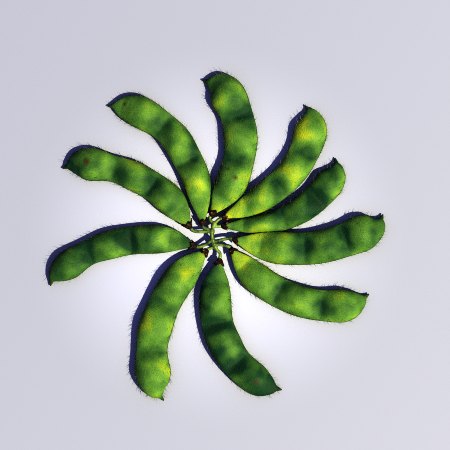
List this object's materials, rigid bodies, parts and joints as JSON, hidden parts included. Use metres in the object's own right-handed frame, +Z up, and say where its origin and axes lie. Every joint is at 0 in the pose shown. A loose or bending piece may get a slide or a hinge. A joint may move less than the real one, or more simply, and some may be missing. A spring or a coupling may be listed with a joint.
{
  "type": "edamame branch",
  "caption": "Flat-lying branch of fresh edamame: downy curved bean pods that fan out like a pinwheel from a short stalk.",
  "frame": {"origin": "on the surface that the branch lies on, under the middle of its footprint", "axes": "+Z points up, away from the surface, +Y points to the top of the picture and +X to its right, both of them along the surface"},
  "size_m": [0.1299, 0.1265, 0.0073],
  "materials": {
    "pod_skin": "downy, softly glossy",
    "dry_calyx": "dry, matt",
    "green_stem": "satin"
  },
  "bodies": {
    "root": {"pod_01": "pod_skin", "pod_02": "pod_skin", "pod_03": "pod_skin", "pod_04": "pod_skin", "pod_05": "pod_skin", "pod_06": "pod_skin", "pod_07": "pod_skin", "pod_08": "pod_skin", "pod_09": "pod_skin", "pod_10": "pod_skin", "calyx_01": "dry_calyx", "calyx_02": "dry_calyx", "calyx_03": "dry_calyx", "calyx_04": "dry_calyx", "calyx_05": "dry_calyx", "calyx_06": "dry_calyx", "calyx_07": "dry_calyx", "calyx_08": "dry_calyx", "calyx_09": "dry_calyx", "calyx_10": "dry_calyx", "stalk": "green_stem"}
  },
  "joints": []
}
